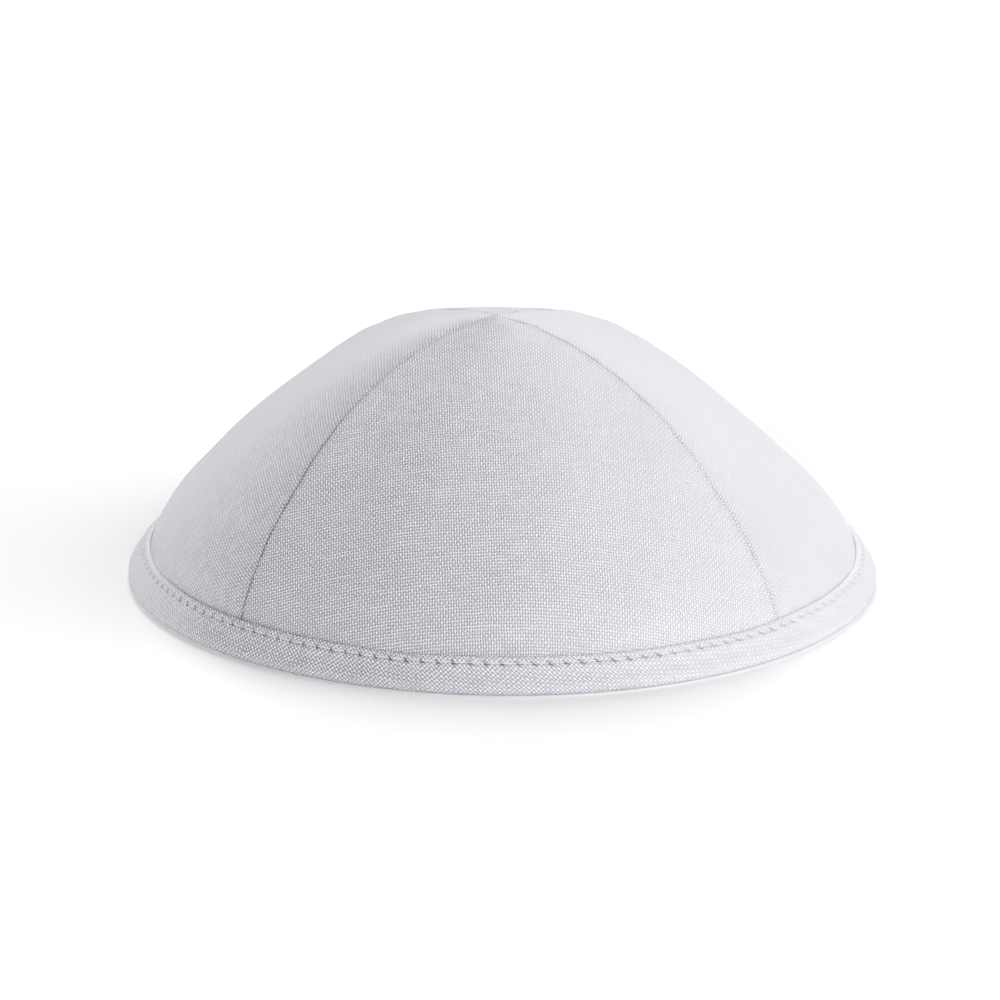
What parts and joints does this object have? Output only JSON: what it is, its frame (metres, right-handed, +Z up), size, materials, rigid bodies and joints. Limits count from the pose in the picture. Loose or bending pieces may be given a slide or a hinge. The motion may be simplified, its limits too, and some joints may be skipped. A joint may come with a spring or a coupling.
{
  "type": "kippah skullcap",
  "caption": "White linen-look kippah: four-panel cloth crown with a topstitched bias binding folded round its rim.",
  "frame": {"origin": "middle of the rim, on the plane the rim rests on", "axes": "+Z up through the crown, -Y towards the middle of the front panel, +X towards the right panel"},
  "size_m": [0.17, 0.17, 0.0605],
  "materials": {
    "panel_cloth": "matt plain weave, straight grain",
    "binding_cloth": "matt plain weave, cut on the bias"
  },
  "bodies": {
    "root": {"crown_panel_front": "panel_cloth", "crown_panel_right": "panel_cloth", "crown_panel_back": "panel_cloth", "crown_panel_left": "panel_cloth", "rim_band": "binding_cloth"}
  },
  "joints": []
}
